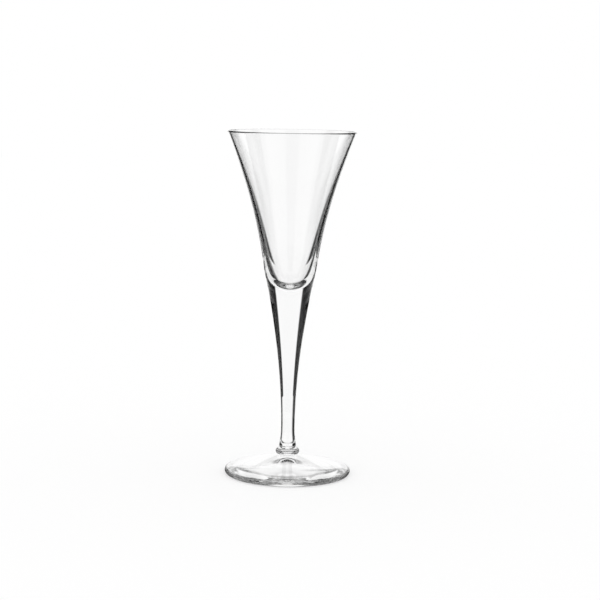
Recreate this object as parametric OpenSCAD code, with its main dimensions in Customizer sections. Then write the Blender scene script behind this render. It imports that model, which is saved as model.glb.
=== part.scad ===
// Cordial glass: a trumpet bowl on a drawn solid stem, a small collar and a round foot.
// Millimetres, +Z up. The origin is the centre of the ring that the glass stands on.
// The four pieces are stacked on one axis and meet face to face at flat round joints.

/* [Bowl] */
// Height of the bowl, from its joint with the stem to the rim
bowl_h = 78; // [64:1:100]
// Outside diameter at the rim
rim_d = 60; // [50:0.5:72]
// Growth of the outside radius at the rim, per millimetre of height
rim_flare = 0.41; // [0.3:0.01:0.5]
// Thickness of the glass at the rim
lip_wall = 1.1; // [0.8:0.1:2]
// Height of the belly above the joint, where the bowl's sides turn in to its rounded bottom
belly_h = 16; // [12:0.5:22]
// Outside diameter at the belly
belly_d = 25.4; // [22:0.2:30]
// Growth of the outside radius at the belly, per millimetre of height
belly_flare = 0.14; // [0.08:0.01:0.24]
// Thickness of the wall at the belly, before the round bottom of the hollow adds to it
belly_wall = 1.8; // [1:0.1:3]
// Thickness of the glass between the hollow and the joint with the stem
bowl_floor = 4.4; // [2:0.1:6]
// Height over which the round bottom of the hollow opens out to the wall
hollow_round = 7; // [5:0.5:12]

/* [Stem] */
// Height of the stem, from the collar to the bowl
stem_h = 70.6; // [45:0.2:95]
// Diameter of the joint between the bowl and the stem
joint_d = 18.9; // [16:0.1:22]
// Growth of the radius at that joint, per millimetre of height
joint_flare = 0.18; // [0.12:0.01:0.24]
// Diameter of the stem at its narrowest place
waist_d = 6.46; // [5.4:0.02:7.6]
// Height of the narrowest place above the collar
waist_h = 8.6; // [6:0.1:14]
// Diameter of the stem's lower end
stem_end_d = 8; // [7:0.1:8.2]
// Growth of the radius at the lower end, per millimetre downwards
stem_end_flare = 0.15; // [0.1:0.01:0.3]

/* [Collar] */
// Height of the collar, from the foot to the stem
collar_h = 4.2; // [4.2:0.1:6]
// Diameter of the collar over its bead
collar_d = 11.4; // [11.2:0.1:14]
// Radius of the bead's round section
bead_r = 1.5; // [1.2:0.05:1.5]
// Radius of the rounded shoulder beside the stem's end
shoulder_r = 0.1; // [0.1:0.05:0.2]

/* [Foot] */
// Height of the foot at its middle, where the collar sits
foot_h = 9.2; // [8:0.1:13]
// Outside diameter of the foot
foot_d = 59.5; // [48:0.5:72]
// Thickness of the foot's round edge
edge_thick = 2.7; // [2:0.05:3.4]
// Width of the flat ring that the glass stands on
ring_w = 2.6; // [1.6:0.1:6]
// Height of the hollow under the foot
arch_h = 4.35; // [2:0.05:5.5]
// Slope of the foot's top at the edge, in degrees
edge_slope = 8.5; // [4:0.5:12]
// Slope of the foot's top at the collar, in degrees
crown_slope = 17; // [10:1:28]
// Slope of the hollow at the ring, in degrees
arch_slope = 2; // [0:0.5:12]

/* [Hidden] */
$fn = 96;

// Glass colour: clear, with hardly any tint
clear_glass = [0.93, 0.95, 0.95, 0.35];

// Straight steps along the hollow, along each other long curve and along each short arc
hollow_steps = 48;
curve_steps = 24;
arc_steps = 8;

// Heights of the three joints, from the foot up
collar_z = foot_h;
stem_z = collar_z + collar_h;
bowl_z = stem_z + stem_h;

// Radii shared by the pieces that meet
joint_r = joint_d / 2;
stem_end_r = stem_end_d / 2;
seat_r = collar_d / 2 - bead_r;

// Rim: a round lip, turned to follow the flare of the wall
lip_r = lip_wall / 2;
lip_turn = atan(rim_flare);
lip_centre = [rim_d / 2 - lip_r, bowl_h - lip_r];
lip_outside = lip_centre + lip_r * [cos(lip_turn), -sin(lip_turn)];
lip_inside = lip_centre - lip_r * [cos(lip_turn), -sin(lip_turn)];

// Collar: angle around the bead at which the neck leaves it, and how far the neck keeps its direction
bead_leave = 120;
neck_bead_hold = 0.4;
neck_top_hold = 0.4;

// Foot: how long its curves keep their direction, as a share of the way across
edge_hold = 0.5;
crown_hold = 0.22;
arch_ring_hold = 0.38;
arch_top_hold = 0.19;
edge_r = edge_thick / 2;
edge_centre = [foot_d / 2 - edge_r, edge_r];
edge_top = edge_centre + edge_r * [sin(edge_slope), cos(edge_slope)];
ring_inside_r = edge_centre.x - ring_w;
foot_run = edge_top.x - seat_r;

// Radius at height z on a smooth line of height h, from radius r0 with growth s0 to r1 with growth s1
function flow_r(r0, s0, r1, s1, h, z) =
    let (u = z / h)
    (2 * u^3 - 3 * u^2 + 1) * r0 + (u^3 - 2 * u^2 + u) * h * s0
    + (3 * u^2 - 2 * u^3) * r1 + (u^3 - u^2) * h * s1;

// The points of that line, raised by base
function flow_line(r0, s0, r1, s1, h, base) =
    [for (i = [0:curve_steps]) let (z = h * i / curve_steps) [flow_r(r0, s0, r1, s1, h, z), base + z]];

// A curve that leaves a towards b and comes to d from c
function bend(a, b, c, d, steps) =
    [for (i = [0:steps]) let (t = i / steps, s = 1 - t)
        s^3 * a + 3 * s^2 * t * b + 3 * s * t^2 * c + t^3 * d];

// An arc about a centre, from one angle to another
function arc(centre, r, from, to) =
    [for (i = [0:arc_steps]) let (a = from + (to - from) * i / arc_steps) centre + r * [cos(a), sin(a)]];

// The points without the first one, and the points from last to first
function after_first(points) = [for (i = [1:len(points) - 1]) points[i]];
function reversed(points) = [for (i = [len(points) - 1:-1:0]) points[i]];

// Radius of the bowl's hollow at height z: the wall's smooth line, closed by the round bottom
function hollow_r(z) =
    let (wall_r = belly_d / 2 - belly_wall, wall_h = lip_inside.y - belly_h)
    flow_r(wall_r, belly_flare, lip_inside.x, rim_flare, wall_h, z - belly_h)
    * sqrt(1 - exp((bowl_floor - z) / hollow_round));

// The points of the hollow from its floor to the rim, closest where the bottom is round
function hollow_line() =
    [for (i = [0:hollow_steps]) let (z = bowl_floor + (lip_inside.y - bowl_floor) * (i / hollow_steps)^2)
        [hollow_r(z), z]];

// Turns an outline of [radius, height] points about the axis, with its lower end at height z
module turned(outline, z) {
    translate([0, 0, z])
        rotate_extrude()
            polygon(outline);
}

// Hollow trumpet bowl with a round lip, a soft belly and a solid floor
module bowl() {
    belly_r = belly_d / 2;
    base = flow_line(joint_r, joint_flare, belly_r, belly_flare, belly_h, 0);
    outside = flow_line(belly_r, belly_flare, lip_outside.x, rim_flare, lip_outside.y - belly_h, belly_h);
    lip = arc(lip_centre, lip_r, -lip_turn, 180 - lip_turn);
    outline = concat(
        [[0, 0]],
        base,
        after_first(outside),
        after_first(lip),
        after_first(reversed(hollow_line()))
    );
    color(clear_glass)
        turned(outline, bowl_z);
}

// Solid stem, drawn in to a narrow waist above the collar
module stem() {
    waist_r = waist_d / 2;
    lower = flow_line(stem_end_r, -stem_end_flare, waist_r, 0, waist_h, 0);
    upper = flow_line(waist_r, 0, joint_r, joint_flare, stem_h - waist_h, waist_h);
    color(clear_glass)
        turned(concat([[0, 0]], lower, after_first(upper), [[0, stem_h]]), stem_z);
}

// Small ring of glass between the stem and the foot: a round bead, and a groove under the stem's end
module collar() {
    bead_centre = [seat_r, bead_r];
    bead = arc(bead_centre, bead_r, -90, bead_leave);
    leave = bead[arc_steps];
    shoulder = arc([stem_end_r, collar_h - shoulder_r], shoulder_r, 0, 90);
    neck = bend(
        leave,
        leave + neck_bead_hold * [-sin(bead_leave), cos(bead_leave)],
        shoulder[0] - neck_top_hold * [0, 1],
        shoulder[0],
        arc_steps
    );
    outline = concat([[0, 0]], bead, after_first(neck), after_first(shoulder), [[0, collar_h]]);
    color(clear_glass)
        turned(outline, collar_z);
}

// Round foot: a gently rising top, a round edge, a flat ring to stand on and a hollow under it
module foot() {
    edge = arc(edge_centre, edge_r, -90, 90 - edge_slope);
    top = bend(
        edge_top,
        edge_top + edge_hold * foot_run * [-cos(edge_slope), sin(edge_slope)],
        [seat_r, foot_h] + crown_hold * foot_run * [cos(crown_slope), -sin(crown_slope)],
        [seat_r, foot_h],
        curve_steps
    );
    arch = bend(
        [0, arch_h],
        [arch_top_hold * ring_inside_r, arch_h],
        [ring_inside_r, 0] + arch_ring_hold * ring_inside_r * [-1, tan(arch_slope)],
        [ring_inside_r, 0],
        curve_steps
    );
    color(clear_glass)
        turned(concat(arch, edge, after_first(top), [[0, foot_h]]), 0);
}

bowl();
stem();
collar();
foot();
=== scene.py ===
import math

import bpy
import numpy as np
from mathutils import Matrix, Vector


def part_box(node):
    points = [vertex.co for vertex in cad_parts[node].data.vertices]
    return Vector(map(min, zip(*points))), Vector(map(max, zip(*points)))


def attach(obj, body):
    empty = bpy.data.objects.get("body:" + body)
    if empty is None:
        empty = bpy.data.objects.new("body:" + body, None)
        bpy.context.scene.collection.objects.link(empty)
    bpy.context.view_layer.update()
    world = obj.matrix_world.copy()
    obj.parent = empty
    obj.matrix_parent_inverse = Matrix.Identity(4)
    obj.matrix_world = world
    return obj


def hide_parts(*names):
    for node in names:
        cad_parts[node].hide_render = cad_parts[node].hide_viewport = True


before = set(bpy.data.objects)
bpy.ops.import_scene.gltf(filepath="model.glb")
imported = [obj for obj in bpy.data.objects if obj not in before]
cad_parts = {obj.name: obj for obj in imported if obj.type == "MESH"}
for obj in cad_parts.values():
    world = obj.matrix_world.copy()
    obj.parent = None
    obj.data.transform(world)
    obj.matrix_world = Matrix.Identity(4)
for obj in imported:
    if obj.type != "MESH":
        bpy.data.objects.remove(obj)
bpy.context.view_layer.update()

# Lengths below are in millimetres and become metres by this factor
MM = 0.001

# Places and radii read from the frame, in millimetres
bowl_low, bowl_high = (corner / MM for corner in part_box("bowl"))
stem_low, stem_high = (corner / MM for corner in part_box("stem"))
collar_low, collar_high = (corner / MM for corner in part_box("collar"))
foot_low, foot_high = (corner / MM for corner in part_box("foot"))

# Bowl: flares are growth of the radius per millimetre of height
RIM_FLARE = 0.41
LIP_WALL = 1.1
BELLY_H = 16.0
BELLY_R = 12.7
BELLY_FLARE = 0.14
BELLY_WALL = 1.8
BOWL_FLOOR = 4.4
HOLLOW_ROUND = 7.0

# Stem
JOINT_FLARE = 0.18
WAIST_R = 3.23
WAIST_H = 8.6
STEM_END_R = 4.0
STEM_END_FLARE = 0.15

# Collar
BEAD_R = 1.5
BEAD_LEAVE = math.radians(120)
SHOULDER_R = 0.1
NECK_BEAD_HOLD = 0.4
NECK_TOP_HOLD = 0.4

# Foot
EDGE_THICK = 2.7
RING_W = 2.6
ARCH_H = 4.35
EDGE_SLOPE = math.radians(8.5)
CROWN_SLOPE = math.radians(17)
ARCH_SLOPE = math.radians(2)
EDGE_HOLD = 0.5
CROWN_HOLD = 0.22
ARCH_RING_HOLD = 0.38
ARCH_TOP_HOLD = 0.19

# Faces round the axis of each turned piece, and points along each stretch of the outlines
ROUND_STEPS = 224
JOINT_POINTS = 4
BASE_POINTS = 40
OUTSIDE_POINTS = 110
LIP_POINTS = 20
HOLLOW_POINTS = 180
SWELL_POINTS = 40
TAPER_POINTS = 140
BEAD_POINTS = 40
NECK_POINTS = 24
SHOULDER_POINTS = 12
ARCH_POINTS = 80
RING_POINTS = 6
EDGE_POINTS = 36
TOP_POINTS = 90

# Clear glass: scales of the noise are per metre, the height of the scuffs and the depth of the draw lines
# are in millimetres, and a pair of numbers is a soft step from one to the other
GLASS_IOR = 1.5
SMUDGE_SCALE = 60.0
SMUDGE_STEP = (0.55, 0.75)
SMUDGE_DULL = 0.02
SCUFF_SCALE = 900.0
SCUFF_STEP = (0.45, 0.65)
SCUFF_DULL = 0.12
SCUFF_HEIGHT = (0.02, 0.06)
DRAW_SCALE = 90.0
DRAW_STRETCH = 0.2
DRAW_DEPTH = 0.004

# How often light may go through or off a surface
BOUNCES = 24

# Studio: the camera's side of the glass in degrees, and the light in the dark parts of the room.
# A pair of numbers below is a soft step from one to the other. Those of the room are degrees of turn from
# the camera's look or of height; those of the table are such degrees of turn or millimetres from the axis
CAMERA_SIDE = 225.0
ROOM_DARK = 0.005

# White window behind the glass, a tall panel crossed by a wide one: how far they go to each side
TALL_LEFT = 13.0
TALL_RIGHT = 13.0
WIDE_LEFT = 25.0
WIDE_RIGHT = 30.0
WINDOW_SOFT = 2.0
WIDE_BOTTOM = (-10.0, -8.0)
WIDE_TOP = (9.5, 11.5)
WINDOW_TOP = (46.0, 54.0)

# Grey bar across the upper part of the window
BAR_BOTTOM = (22.7, 26.7)
BAR_TOP = (28.1, 32.1)
BAR_DARK = 0.57

# Panels at both sides of the glass: low, at mid height and high
SIDE_END = (120, 150)
LOW_SIDE_START = (40, 52)
LOW_SIDE_TOP = (-24.7, -18.7)
MID_SIDE_START = (63, 75)
MID_SIDE_TOP = (6, 10)
MID_SIDE_LEFT = 0.74
MID_SIDE_RIGHT = 0.22
HIGH_SIDE_START = (34, 44)
HIGH_SIDE_END = (84, 96)
HIGH_SIDE_BOTTOM = (15, 21)
HIGH_SIDE_TOP = (27, 33)

# Panels on the camera's side: a corner on each side of it, a dimmer centre and a low one
CORNER_START = (104, 110)
CORNER_END = (158, 170)
CORNER_BOTTOM = (-20, -8)
CORNER_LEVEL = 0.85
CENTRE_BOTTOM = (4, 12)
CENTRE_LEVEL = 0.4
LOW_BACK_START = (130, 150)
LOW_BACK_BOTTOM = (-70, -60)

# Floor for the camera: how far it goes, how far it lies under the foot and what share of it is plain white
FLOOR_REACH = 3000.0
FLOOR_DROP = 0.1
FLOOR_PLAIN = 0.5

# Table of painted light: a painted pool of light under the foot with a bright core, whose rest is painted
# dim towards the camera
TABLE_REACH = 300.0
TABLE_DROP = 0.05
CORE_EDGE = (13, 17)
CORE_LEVEL = 0.92
REST_TURN = (85, 115)
REST_BEHIND = 1.0
REST_NEAR = 0.1
SPOT_EDGE = (29, 31)

# Table of painted light past a painted dark ring: a painted white lane behind the glass, and painted light
# at the sides and towards the camera
RING_EDGE = (36, 40)
LANE_LEFT = 28.0
LANE_RIGHT = 40.0
LANE_SOFT = 5.0
NEAR_TURN = (120, 140)
NEAR_SIDE = 0.02
NEAR_BACK = 0.3
FAR_SIDE_TURN = (86, 104)
FAR_SIDE_REACH = (140, 186)
FAR_SIDE_LEVEL = 0.53
FAR_BACK_TURN = (110, 130)
FAR_BACK_REACH = (120, 210)
FAR_BACK_LEVEL = 0.85

# Camera: metres from the axis and above the floor, focal length in pixels of the picture, degrees of turn
CAMERA_DISTANCE = 0.7858
CAMERA_HEIGHT = 0.1885
FOCAL_PIXELS = 1685.9
FRAME_PIXELS = 600
CAMERA_TILT = 7.65
CAMERA_PAN = 0.35
CAMERA_ROLL = 0.93


def flow_r(r0, s0, r1, s1, z0, z1, z):
    """Radius at the heights z on a smooth line: the cubic in height that has radius r0 and growth s0
    at z0, and radius r1 and growth s1 at z1."""
    h = z1 - z0
    u = (z - z0) / h
    r = (2 * u**3 - 3 * u**2 + 1) * r0 + (u**3 - 2 * u**2 + u) * h * s0
    return r + (3 * u**2 - 2 * u**3) * r1 + (u**3 - u**2) * h * s1


def flow(r0, s0, r1, s1, z0, z1, count):
    """Points (radius, height) evenly in height along that line, from z0 to z1."""
    z = np.linspace(z0, z1, count)
    return np.column_stack([flow_r(r0, s0, r1, s1, z0, z1, z), z])


def bend(a, b, c, d, count):
    """Points of a curve that leaves a towards b and comes to d from c: the four points weighted by
    the cubic Bernstein polynomials."""
    t = np.linspace(0.0, 1.0, count)[:, None]
    s = 1.0 - t
    a, b, c, d = (np.asarray(p, float) for p in (a, b, c, d))
    return s**3 * a + 3 * s**2 * t * b + 3 * s * t**2 * c + t**3 * d


def arc(centre, radius, start, end, count):
    """Points of a circle's arc about centre, from one angle to another."""
    angle = np.linspace(start, end, count)
    return np.asarray(centre, float) + radius * np.column_stack([np.cos(angle), np.sin(angle)])


def line(a, b, count):
    """Points evenly along a straight line from a to b."""
    return np.linspace(np.asarray(a, float), np.asarray(b, float), count)


def turned(name, runs, joints):
    """A closed piece turned about Z. runs are smooth stretches of the outline, each ending where the
    next starts, from the axis below, round the outside, to the axis above. A point at radius r and
    angle a goes to (r cos a, r sin a, z). Each corner's normal is the outline's own, square to the
    tangent of its run, so runs meet sharply and each is smooth. joints are the numbers of the runs
    that are fused to a neighbour."""
    angle = np.arange(ROUND_STEPS) * (2 * math.pi / ROUND_STEPS)
    turn = np.column_stack([np.cos(angle), np.sin(angle)])
    rows = np.vstack([runs[0][:1]] + [run[1:] for run in runs])
    ring = np.arange(ROUND_STEPS)
    after = np.roll(ring, -1)

    # Vertices: one at each end of the axis, and a ring for each row between them
    r, z = rows[1:-1, 0], rows[1:-1, 1]
    around = np.empty((len(r), ROUND_STEPS, 3))
    around[..., :2] = r[:, None, None] * turn
    around[..., 2] = z[:, None]
    ends = np.array([[0.0, 0.0, rows[0, 1]], [0.0, 0.0, rows[-1, 1]]])
    points = np.vstack([ends, around.reshape(-1, 3)]) * MM

    # Faces: a fan at each end and quads between neighbouring rings
    start = 2 + ROUND_STEPS * np.arange(len(r))
    first = start[0]
    last = start[-1]
    fan_low = np.column_stack([np.zeros_like(ring), first + after, first + ring])
    low, high = start[:-1, None], start[1:, None]
    quads = np.stack([low + ring, low + after, high + after, high + ring], axis=-1).reshape(-1, 4)
    fan_high = np.column_stack([last + ring, last + after, np.ones_like(ring)])

    # Normals of the outline at both ends of each band between two rows, and the band's run
    tangents = [np.gradient(run, axis=0, edge_order=2 if len(run) > 2 else 1) for run in runs]
    square = [np.column_stack([t[:, 1], -t[:, 0]]) / np.hypot(*t.T)[:, None] for t in tangents]
    below = np.vstack([n[:-1] for n in square])
    above = np.vstack([n[1:] for n in square])
    band_run = np.concatenate([np.full(len(run) - 1, i) for i, run in enumerate(runs)])

    def swept(normal, column):
        """Normals of one row turned to the given columns of the ring."""
        out = np.empty(np.broadcast_shapes(normal[..., 0].shape, column.shape) + (3,))
        out[..., :2] = normal[..., :1] * turn[column]
        out[..., 2] = normal[..., 1]
        return out

    fan_low_normals = np.stack(
        [swept(below[0], ring) * (0, 0, 1), swept(above[0], after), swept(above[0], ring)], axis=1
    )
    mid_below, mid_above = below[1:-1, None], above[1:-1, None]
    quad_normals = np.stack(
        [swept(mid_below, ring), swept(mid_below, after), swept(mid_above, after), swept(mid_above, ring)],
        axis=2,
    )
    fan_high_normals = np.stack(
        [swept(below[-1], ring), swept(below[-1], after), swept(above[-1], ring) * (0, 0, 1)], axis=1
    )
    normals = np.vstack([n.reshape(-1, 3) for n in (fan_low_normals, quad_normals, fan_high_normals)])

    mesh = bpy.data.meshes.new(name)
    mesh.from_pydata(points.tolist(), [], fan_low.tolist() + quads.tolist() + fan_high.tolist())
    mesh.polygons.foreach_set("use_smooth", np.ones(len(mesh.polygons), bool))
    fused = np.isin(band_run, joints).astype(np.int32)
    mesh.polygons.foreach_set("material_index", np.repeat(fused, ROUND_STEPS))
    mesh.normals_split_custom_set(normals.tolist())
    mesh.validate()
    piece = bpy.data.objects.new(name, mesh)
    bpy.context.scene.collection.objects.link(piece)
    return piece


def bowl_runs():
    """Outline of the bowl: joint, base, outside, lip and hollow. The hollow's radius is a smooth line
    like the outside's, times the square root of one minus a falling exponential of the height above
    its floor, which rounds the bottom; its heights go by squares, so rows are close where it's round."""
    base_z = bowl_low.z
    belly_z = base_z + BELLY_H
    floor_z = base_z + BOWL_FLOOR
    lip_r = LIP_WALL / 2
    lip_turn = math.atan(RIM_FLARE)
    lip_centre = np.array([bowl_high.x - lip_r, bowl_high.z - lip_r])
    lip_out = lip_r * np.array([math.cos(lip_turn), -math.sin(lip_turn)])
    outside_top = lip_centre + lip_out
    inside_top = lip_centre - lip_out
    z = floor_z + (inside_top[1] - floor_z) * np.linspace(1.0, 0.0, HOLLOW_POINTS) ** 2
    wall = flow_r(BELLY_R - BELLY_WALL, BELLY_FLARE, inside_top[0], RIM_FLARE, belly_z, inside_top[1], z)
    hollow = np.column_stack([wall * np.sqrt(1.0 - np.exp((floor_z - z) / HOLLOW_ROUND)), z])
    hollow[0] = inside_top
    return [
        line((0, base_z), (stem_high.x, base_z), JOINT_POINTS),
        flow(stem_high.x, JOINT_FLARE, BELLY_R, BELLY_FLARE, base_z, belly_z, BASE_POINTS),
        flow(BELLY_R, BELLY_FLARE, outside_top[0], RIM_FLARE, belly_z, outside_top[1], OUTSIDE_POINTS),
        arc(lip_centre, lip_r, -lip_turn, math.pi - lip_turn, LIP_POINTS),
        hollow,
    ]


def stem_runs():
    """Outline of the stem: lower joint, swell above the collar, long taper and upper joint."""
    low_z, high_z = stem_low.z, stem_high.z
    waist_z = low_z + WAIST_H
    return [
        line((0, low_z), (STEM_END_R, low_z), JOINT_POINTS),
        flow(STEM_END_R, -STEM_END_FLARE, WAIST_R, 0.0, low_z, waist_z, SWELL_POINTS),
        flow(WAIST_R, 0.0, stem_high.x, JOINT_FLARE, waist_z, high_z, TAPER_POINTS),
        line((stem_high.x, high_z), (0, high_z), JOINT_POINTS),
    ]


def collar_runs():
    """Outline of the collar: lower joint, bead, neck, shoulder and upper joint."""
    low_z, high_z = collar_low.z, collar_high.z
    seat_r = collar_high.x - BEAD_R
    bead = arc((seat_r, low_z + BEAD_R), BEAD_R, -math.pi / 2, BEAD_LEAVE, BEAD_POINTS)
    shoulder_centre = (STEM_END_R, high_z - SHOULDER_R)
    shoulder = arc(shoulder_centre, SHOULDER_R, 0.0, math.pi / 2, SHOULDER_POINTS)
    along_bead = np.array([-math.sin(BEAD_LEAVE), math.cos(BEAD_LEAVE)])
    neck_in = bead[-1] + NECK_BEAD_HOLD * along_bead
    neck_out = shoulder[0] - (0, NECK_TOP_HOLD)
    return [
        line((0, low_z), (seat_r, low_z), JOINT_POINTS),
        bead,
        bend(bead[-1], neck_in, neck_out, shoulder[0], NECK_POINTS),
        shoulder,
        line((STEM_END_R, high_z), (0, high_z), JOINT_POINTS),
    ]


def foot_runs():
    """Outline of the foot: hollow underneath, ring that it stands on, round edge, top and joint."""
    seat_r = collar_high.x - BEAD_R
    low_z, high_z = foot_low.z, foot_high.z
    edge_r = EDGE_THICK / 2
    edge_centre = (foot_high.x - edge_r, low_z + edge_r)
    edge = arc(edge_centre, edge_r, -math.pi / 2, math.pi / 2 - EDGE_SLOPE, EDGE_POINTS)
    ring_in = edge_centre[0] - RING_W
    arch_z = low_z + ARCH_H
    ring_hold = ARCH_RING_HOLD * ring_in
    run = edge[-1][0] - seat_r
    edge_way = np.array([-math.cos(EDGE_SLOPE), math.sin(EDGE_SLOPE)])
    crown_way = np.array([math.cos(CROWN_SLOPE), -math.sin(CROWN_SLOPE)])
    return [
        bend(
            (0, arch_z),
            (ARCH_TOP_HOLD * ring_in, arch_z),
            (ring_in - ring_hold, low_z + ring_hold * math.tan(ARCH_SLOPE)),
            (ring_in, low_z),
            ARCH_POINTS,
        ),
        line((ring_in, low_z), (edge_centre[0], low_z), RING_POINTS),
        edge,
        bend(
            edge[-1],
            edge[-1] + EDGE_HOLD * run * edge_way,
            np.array([seat_r, high_z]) + CROWN_HOLD * run * crown_way,
            (seat_r, high_z),
            TOP_POINTS,
        ),
        line((seat_r, high_z), (0, high_z), JOINT_POINTS),
    ]


def add_node(tree, kind, **values):
    """A new node, with inputs set by name from values or links."""
    node = tree.nodes.new(kind)
    for name, value in values.items():
        socket = node.inputs[name.replace("_", " ")]
        if isinstance(value, bpy.types.NodeSocket):
            tree.links.new(value, socket)
        else:
            socket.default_value = value
    return node


def calc(tree, operation, *values):
    """The result of a Math node on numbers or links."""
    node = tree.nodes.new("ShaderNodeMath")
    node.operation = operation
    for socket, value in zip(node.inputs, values):
        if isinstance(value, bpy.types.NodeSocket):
            tree.links.new(value, socket)
        else:
            socket.default_value = value
    return node.outputs[0]


def ramp(tree, value, start, end):
    """0 up to start and 1 from end on, with a soft step between them."""
    node = add_node(tree, "ShaderNodeMapRange", Value=value, From_Min=start, From_Max=end)
    node.interpolation_type = "SMOOTHSTEP"
    return node.outputs["Result"]


def fall(tree, value, start, end):
    """1 up to start and 0 from end on, with a soft step between them."""
    return calc(tree, "SUBTRACT", 1.0, ramp(tree, value, start, end))


def product(tree, first, *others):
    """All the values multiplied together."""
    for other in others:
        first = calc(tree, "MULTIPLY", first, other)
    return first


def brightest(tree, first, *others):
    """The highest of the values."""
    for other in others:
        first = calc(tree, "MAXIMUM", first, other)
    return first


def blend(tree, share, low, high):
    """low where share is 0 and high where it is 1, straight between them."""
    return calc(tree, "ADD", low, calc(tree, "MULTIPLY", share, high - low))


def clear_glass():
    """Clear fire-polished glass: faint dull smudges from handling, scuffs on the ring that it stands on
    and very shallow lines round the axis from drawing the hot glass."""
    material = bpy.data.materials.new("clear_glass")
    material.use_nodes = True
    tree = material.node_tree
    shader = tree.nodes["Principled BSDF"]
    shader.inputs["Base Color"].default_value = (1, 1, 1, 1)
    shader.inputs["IOR"].default_value = GLASS_IOR
    shader.inputs["Transmission Weight"].default_value = 1.0
    place = tree.nodes.new("ShaderNodeTexCoord").outputs["Object"]
    x, y, z = add_node(tree, "ShaderNodeSeparateXYZ", Vector=place).outputs

    smudge = add_node(tree, "ShaderNodeTexNoise", Vector=place, Scale=SMUDGE_SCALE, Detail=3.0)
    dull = product(tree, ramp(tree, smudge.outputs["Fac"], *SMUDGE_STEP), SMUDGE_DULL)
    scuff = add_node(tree, "ShaderNodeTexNoise", Vector=place, Scale=SCUFF_SCALE, Detail=2.0)
    worn = product(tree, ramp(tree, scuff.outputs["Fac"], *SCUFF_STEP), SCUFF_DULL)
    worn = product(tree, worn, fall(tree, calc(tree, "DIVIDE", z, MM), *SCUFF_HEIGHT))
    tree.links.new(brightest(tree, dull, worn), shader.inputs["Roughness"])

    across_x = product(tree, x, DRAW_STRETCH)
    across_y = product(tree, y, DRAW_STRETCH)
    flat = add_node(tree, "ShaderNodeCombineXYZ", X=across_x, Y=across_y, Z=z).outputs[0]
    lines = add_node(tree, "ShaderNodeTexNoise", Vector=flat, Scale=DRAW_SCALE, Detail=1.0)
    depth = DRAW_DEPTH * MM
    relief = add_node(tree, "ShaderNodeBump", Strength=1.0, Distance=depth, Height=lines.outputs["Fac"])
    tree.links.new(relief.outputs["Normal"], shader.inputs["Normal"])
    return material


def fused_joint():
    """Two pieces of glass melted together: light goes straight on."""
    material = bpy.data.materials.new("fused_joint")
    material.use_nodes = True
    tree = material.node_tree
    tree.nodes.clear()
    clear = add_node(tree, "ShaderNodeBsdfTransparent", Color=(1, 1, 1, 1))
    add_node(tree, "ShaderNodeOutputMaterial", Surface=clear.outputs[0])
    return material


def turn_from_look(tree, x, y):
    """Degrees by which the way (x, y) lies to the right of the camera's look across the glass."""
    side = math.radians(CAMERA_SIDE)
    x_ahead = calc(tree, "MULTIPLY", x, -math.sin(side))
    y_ahead = calc(tree, "MULTIPLY", y, math.cos(side))
    x_across = calc(tree, "MULTIPLY", x, math.cos(side))
    y_across = calc(tree, "MULTIPLY", y, math.sin(side))
    ahead = calc(tree, "ADD", x_ahead, y_ahead)
    across = calc(tree, "ADD", x_across, y_across)
    return calc(tree, "MULTIPLY", calc(tree, "ARCTAN2", across, ahead), 180 / math.pi)


def between(tree, turn, left, right, soft):
    """1 from left degrees to the left of the look to right degrees to its right, and 0 beyond."""
    past_left = ramp(tree, turn, -left - soft, soft - left)
    return product(tree, past_left, fall(tree, turn, right - soft, right + soft))


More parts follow.
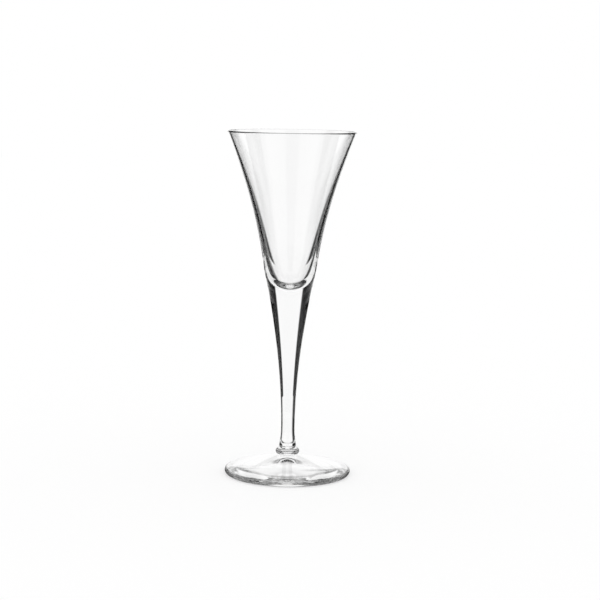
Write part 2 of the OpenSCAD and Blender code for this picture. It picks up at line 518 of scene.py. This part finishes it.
def studio():
    """White panels in a dark room, seen by rays that glass bends or mirrors. The camera and the floor
    see plain white all round."""
    world = bpy.data.worlds.new("studio")
    world.use_nodes = True
    bpy.context.scene.world = world
    tree = world.node_tree
    tree.nodes.clear()
    way = tree.nodes.new("ShaderNodeTexCoord").outputs["Generated"]
    x, y, z = add_node(tree, "ShaderNodeSeparateXYZ", Vector=way).outputs
    height = calc(tree, "MULTIPLY", calc(tree, "ARCSINE", z), 180 / math.pi)
    turn = turn_from_look(tree, x, y)
    side = calc(tree, "ABSOLUTE", turn)
    on_left = calc(tree, "LESS_THAN", turn, 0.0)
    under_top = fall(tree, height, *WINDOW_TOP)

    tall = between(tree, turn, TALL_LEFT, TALL_RIGHT, WINDOW_SOFT)
    wide = between(tree, turn, WIDE_LEFT, WIDE_RIGHT, WINDOW_SOFT)
    wide = product(tree, wide, ramp(tree, height, *WIDE_BOTTOM), fall(tree, height, *WIDE_TOP))
    bar = product(tree, ramp(tree, height, *BAR_BOTTOM), fall(tree, height, *BAR_TOP), BAR_DARK)
    window = product(tree, brightest(tree, tall, wide), under_top, calc(tree, "SUBTRACT", 1.0, bar))

    before_end = fall(tree, side, *SIDE_END)
    low_side = product(tree, ramp(tree, side, *LOW_SIDE_START), before_end)
    low_side = product(tree, low_side, fall(tree, height, *LOW_SIDE_TOP))
    mid_side = product(tree, ramp(tree, height, *LOW_SIDE_TOP), fall(tree, height, *MID_SIDE_TOP))
    mid_side = product(tree, mid_side, ramp(tree, side, *MID_SIDE_START), before_end)
    mid_side = product(tree, mid_side, blend(tree, on_left, MID_SIDE_RIGHT, MID_SIDE_LEFT))
    high_side = product(tree, ramp(tree, side, *HIGH_SIDE_START), fall(tree, side, *HIGH_SIDE_END))
    high_side = product(tree, high_side, ramp(tree, height, *HIGH_SIDE_BOTTOM))
    high_side = product(tree, high_side, fall(tree, height, *HIGH_SIDE_TOP))

    corner = product(tree, ramp(tree, side, *CORNER_START), fall(tree, side, *CORNER_END))
    corner = product(tree, corner, ramp(tree, height, *CORNER_BOTTOM), CORNER_LEVEL)
    centre = product(tree, ramp(tree, side, *CORNER_END), ramp(tree, height, *CENTRE_BOTTOM), CENTRE_LEVEL)
    back = product(tree, calc(tree, "ADD", corner, centre), under_top)
    low_back = product(tree, ramp(tree, height, *LOW_BACK_BOTTOM), fall(tree, height, *CORNER_BOTTOM))
    low_back = product(tree, low_back, ramp(tree, side, *LOW_BACK_START))

    shown = brightest(tree, window, low_side, mid_side, high_side, back, low_back, ROOM_DARK)
    path = tree.nodes.new("ShaderNodeLightPath")
    bent = calc(tree, "MAXIMUM", path.outputs["Is Transmission Ray"], path.outputs["Is Glossy Ray"])
    level = brightest(tree, calc(tree, "SUBTRACT", 1.0, bent), calc(tree, "MULTIPLY", bent, shown))
    light = add_node(tree, "ShaderNodeBackground", Color=(1, 1, 1, 1), Strength=level)
    add_node(tree, "ShaderNodeOutputWorld", Surface=light.outputs[0])


def disc(name, reach, height, material):
    """A flat disc on the axis, as a grid of rings and spokes: a point at radius r and angle a goes to
    (r cos a, r sin a), with rings closer towards the axis by squares."""
    rings, spokes = 24, 64
    r = np.linspace(0.0, 1.0, rings) ** 2 * reach * MM
    a = np.linspace(0.0, 2 * math.pi, spokes + 1)
    level = np.full((rings, spokes + 1), height * MM)
    points = np.stack([np.outer(r, np.cos(a)), np.outer(r, np.sin(a)), level], -1)
    i = np.arange(rings - 1)[:, None] * (spokes + 1)
    j = np.arange(spokes)[None]
    faces = np.stack([i + j, i + spokes + 1 + j, i + spokes + 2 + j, i + j + 1], -1).reshape(-1, 4)
    mesh = bpy.data.meshes.new(name)
    mesh.from_pydata(points.reshape(-1, 3).tolist(), [], faces.tolist())
    mesh.materials.append(material)
    piece = bpy.data.objects.new(name, mesh)
    bpy.context.scene.collection.objects.link(piece)
    return piece


def floor():
    """A wide white floor for the camera. Part of its white is plain, so the shadow on it stays soft."""
    material = bpy.data.materials.new("floor_white")
    material.use_nodes = True
    tree = material.node_tree
    tree.nodes.clear()
    matt = add_node(tree, "ShaderNodeBsdfDiffuse", Color=(1, 1, 1, 1))
    plain = add_node(tree, "ShaderNodeEmission", Color=(1, 1, 1, 1), Strength=1.0)
    path = tree.nodes.new("ShaderNodeLightPath")
    share = calc(tree, "MULTIPLY", path.outputs["Is Camera Ray"], FLOOR_PLAIN)
    mix = tree.nodes.new("ShaderNodeMixShader")
    tree.links.new(share, mix.inputs[0])
    tree.links.new(matt.outputs[0], mix.inputs[1])
    tree.links.new(plain.outputs[0], mix.inputs[2])
    add_node(tree, "ShaderNodeOutputMaterial", Surface=mix.outputs[0])
    wide = disc("floor", FLOOR_REACH, -FLOOR_DROP, material)
    wide.visible_transmission = False
    wide.visible_glossy = False


def painted_light_table():
    """What bent rays see in the floor's place, a table that glows with painted light: a painted pool of
    light under the foot, a painted dark ring round it, a painted white lane behind the glass and painted
    dimmer light towards the camera."""
    material = bpy.data.materials.new("painted_light_table")
    material.use_nodes = True
    tree = material.node_tree
    tree.nodes.clear()
    place = tree.nodes.new("ShaderNodeTexCoord").outputs["Object"]
    x, y = add_node(tree, "ShaderNodeSeparateXYZ", Vector=place).outputs[:2]
    squares = calc(tree, "ADD", calc(tree, "MULTIPLY", x, x), calc(tree, "MULTIPLY", y, y))
    reach = calc(tree, "DIVIDE", calc(tree, "SQRT", squares), MM)
    turn = turn_from_look(tree, x, y)
    side = calc(tree, "ABSOLUTE", turn)

    # Painted pool of light under the foot: a bright core, and a rest painted dim towards the camera
    core = product(tree, fall(tree, reach, *CORE_EDGE), CORE_LEVEL)
    rest = blend(tree, fall(tree, side, *REST_TURN), REST_NEAR, REST_BEHIND)
    rest = product(tree, rest, ramp(tree, reach, *CORE_EDGE))
    spot = product(tree, calc(tree, "ADD", core, rest), fall(tree, reach, *SPOT_EDGE))

    # Painted dark ring round the spot, then a painted white lane behind the glass and painted light at the
    # sides and towards the camera
    past_ring = ramp(tree, reach, *RING_EDGE)
    lane = product(tree, between(tree, turn, LANE_LEFT, LANE_RIGHT, LANE_SOFT), past_ring)
    near = product(tree, blend(tree, ramp(tree, side, *NEAR_TURN), NEAR_SIDE, NEAR_BACK), past_ring)
    far_side = product(tree, ramp(tree, side, *FAR_SIDE_TURN), ramp(tree, reach, *FAR_SIDE_REACH))
    far_side = product(tree, far_side, FAR_SIDE_LEVEL)
    far_back = product(tree, ramp(tree, side, *FAR_BACK_TURN), ramp(tree, reach, *FAR_BACK_REACH))
    far_back = product(tree, far_back, FAR_BACK_LEVEL)

    glow = brightest(tree, spot, lane, near, far_side, far_back, ROOM_DARK)
    # The table glows with this painted light, seen only by rays that glass bends or mirrors
    painted_glow = add_node(tree, "ShaderNodeEmission", Color=(1, 1, 1, 1), Strength=glow)
    add_node(tree, "ShaderNodeOutputMaterial", Surface=painted_glow.outputs[0])
    table = disc("painted_light_table", TABLE_REACH, -TABLE_DROP, material)
    table.visible_camera = False
    table.visible_diffuse = False
    table.visible_shadow = False


def camera():
    """A long lens on the photograph's side, a little above the rim, aimed down and just past the axis."""
    data = bpy.data.cameras.new("camera")
    data.sensor_width = 36.0
    data.lens = data.sensor_width * FOCAL_PIXELS / FRAME_PIXELS
    data.clip_start, data.clip_end = 0.01, 50.0
    eye = bpy.data.objects.new("camera", data)
    bpy.context.scene.collection.objects.link(eye)
    side = math.radians(CAMERA_SIDE)
    across, back = math.sin(side) * CAMERA_DISTANCE, -math.cos(side) * CAMERA_DISTANCE
    stand = Matrix.Translation((across, back, CAMERA_HEIGHT))
    heading = Matrix.Rotation(side - math.radians(CAMERA_PAN), 4, "Z")
    nod = Matrix.Rotation(math.pi / 2 - math.radians(CAMERA_TILT), 4, "X")
    lean = Matrix.Rotation(math.radians(CAMERA_ROLL), 4, "Z")
    eye.matrix_world = stand @ heading @ nod @ lean
    bpy.context.scene.camera = eye


glass = clear_glass()
joint = fused_joint()
pieces = {
    "bowl": turned("trumpet_bowl", bowl_runs(), [0]),
    "stem": turned("drawn_stem", stem_runs(), [0, 3]),
    "collar": turned("beaded_collar", collar_runs(), [0, 4]),
    "foot": turned("round_foot", foot_runs(), [4]),
}
for node, piece in pieces.items():
    piece.data.materials.append(glass)
    piece.data.materials.append(joint)
    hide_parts(node)
    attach(piece, "root")

studio()
floor()
painted_light_table()
camera()
scene = bpy.context.scene
scene.view_settings.view_transform = "Standard"
scene.cycles.max_bounces = BOUNCES
scene.cycles.transmission_bounces = BOUNCES
scene.cycles.glossy_bounces = BOUNCES
scene.cycles.transparent_max_bounces = BOUNCES
